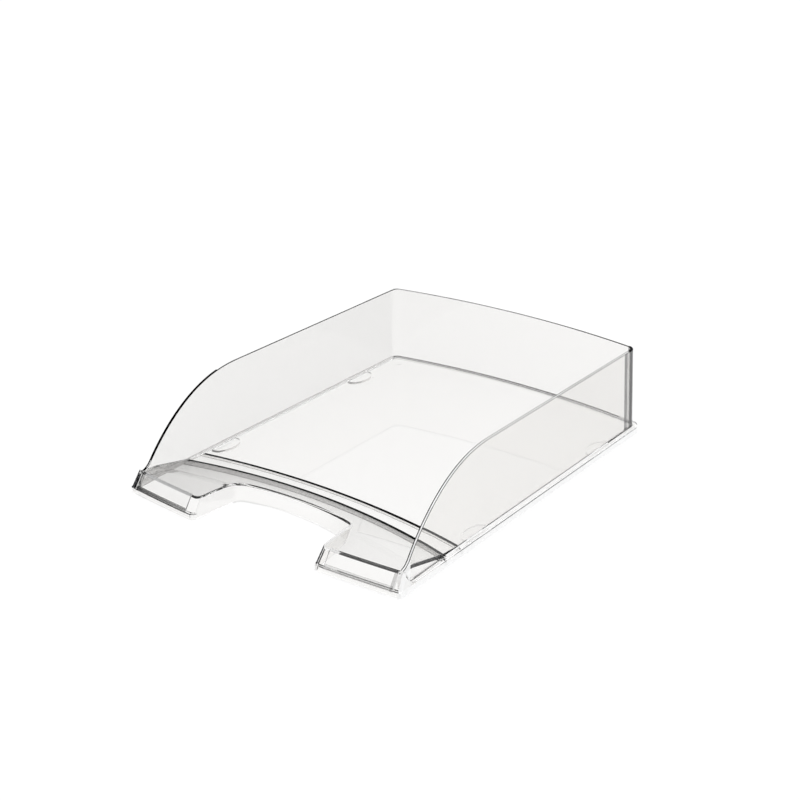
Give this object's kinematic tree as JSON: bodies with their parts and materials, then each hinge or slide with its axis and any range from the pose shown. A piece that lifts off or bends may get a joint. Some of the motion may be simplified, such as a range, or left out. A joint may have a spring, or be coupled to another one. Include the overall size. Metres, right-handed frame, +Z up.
{
  "type": "letter tray",
  "caption": "Clear open-front tray for office sheets with swept side walls, a thumb notch between two front feet, and lift-out label strips.",
  "frame": {"origin": "bottom centre of the whole tray's bounding box, on the desk plane", "axes": "+Z up, +Y to the back of the tray, +X to the right as seen from the open front"},
  "size_m": [0.255, 0.3568, 0.07],
  "materials": {
    "clear_polystyrene": "clear, glossy injection-moulded polystyrene",
    "clear_label_strip": "clear, smooth thin plastic strip"
  },
  "bodies": {
    "tray": {"letter_tray_moulding": "clear_polystyrene"},
    "label_left": {"label_strip_left": "clear_label_strip"},
    "label_right": {"label_strip_right": "clear_label_strip"}
  },
  "joints": [
    {"name": "label_left_lift", "type": "slide", "parent": "tray", "child": "label_left", "axis": [0, 0.5679, 0.8231], "range_m": [0, 0.014]},
    {"name": "label_right_lift", "type": "slide", "parent": "tray", "child": "label_right", "axis": [0, 0.5679, 0.8231], "range_m": [0, 0.014]}
  ]
}
